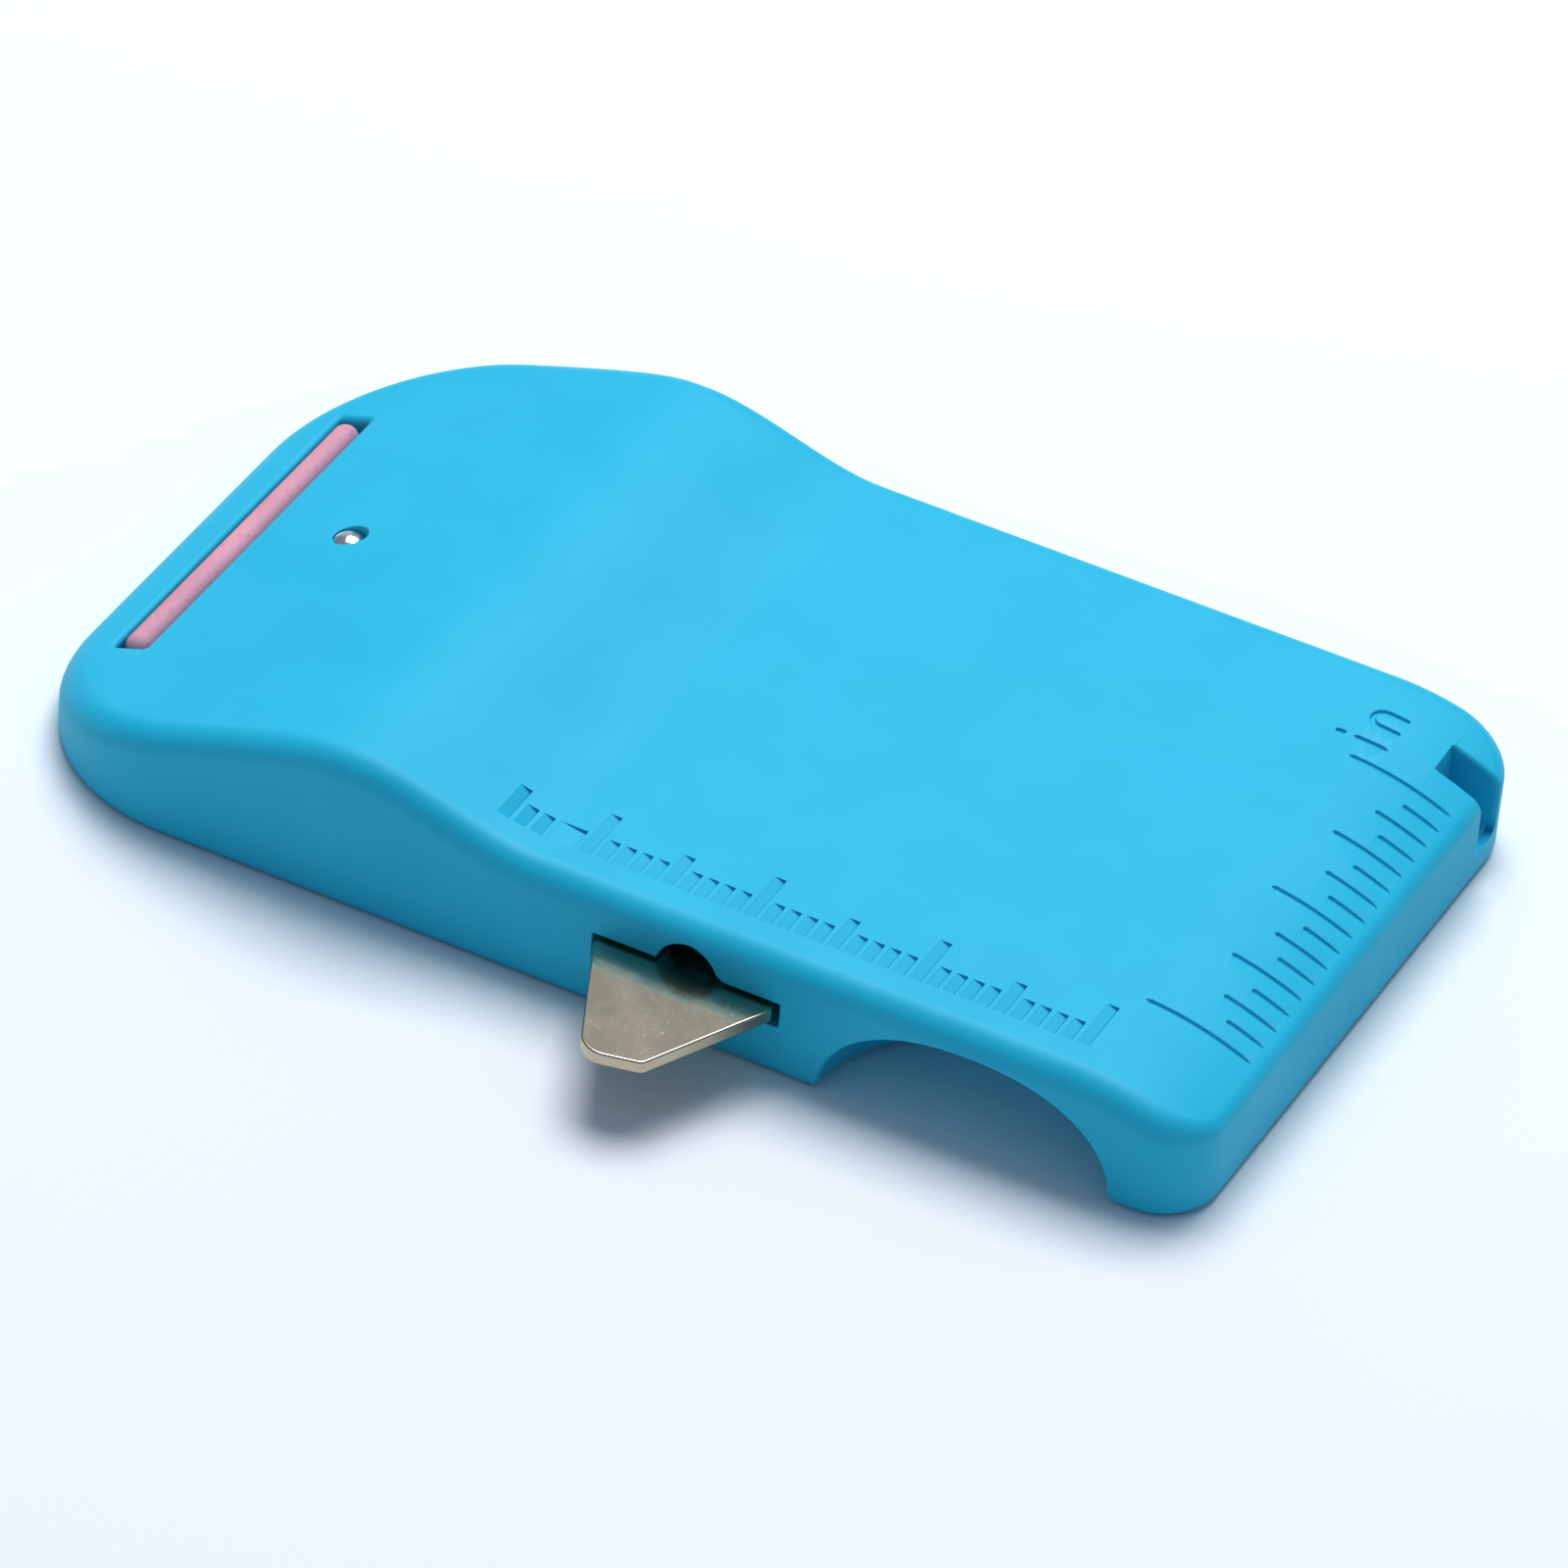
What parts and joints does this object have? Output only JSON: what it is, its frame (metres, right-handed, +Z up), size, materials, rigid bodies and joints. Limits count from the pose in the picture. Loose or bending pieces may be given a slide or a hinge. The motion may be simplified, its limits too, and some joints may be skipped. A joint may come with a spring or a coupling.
{
  "type": "paper scoring tool",
  "caption": "Palm-sized plastic paper scoring tool with engraved edge scales, a sliding steel plate, a finger scoop, a corner notch and a creasing bar in its sloping nose.",
  "frame": {"origin": "centre of the flat underside", "axes": "+X along the length towards the ruler end, +Y across the width away from the sliding plate, +Z up"},
  "size_m": [0.0738, 0.051, 0.0099],
  "materials": {
    "shell_plastic": "satin moulded",
    "cover_plastic": "fine spark texture",
    "blade_steel": "polished satin",
    "pin_steel": "ground",
    "spring_steel": "rolled",
    "screw_steel": "zinc plated",
    "bar_plastic": "matte, slightly speckled",
    "holder_plastic": "matte",
    "rivet_metal": "bright"
  },
  "bodies": {
    "body": {"upper_shell": "shell_plastic", "base_cover": "cover_plastic", "blade_stop_pin": "pin_steel", "friction_spring": "spring_steel", "spring_screw": "screw_steel", "crease_bar": "bar_plastic", "bar_holder": "holder_plastic", "holder_rivet": "rivet_metal", "cover_screws": "screw_steel"},
    "blade": {"scoring_blade": "blade_steel"}
  },
  "joints": [
    {"name": "blade_slide", "type": "slide", "parent": "body", "child": "blade", "axis": [0, 1, 0], "range_m": [0, 0.0089]}
  ]
}
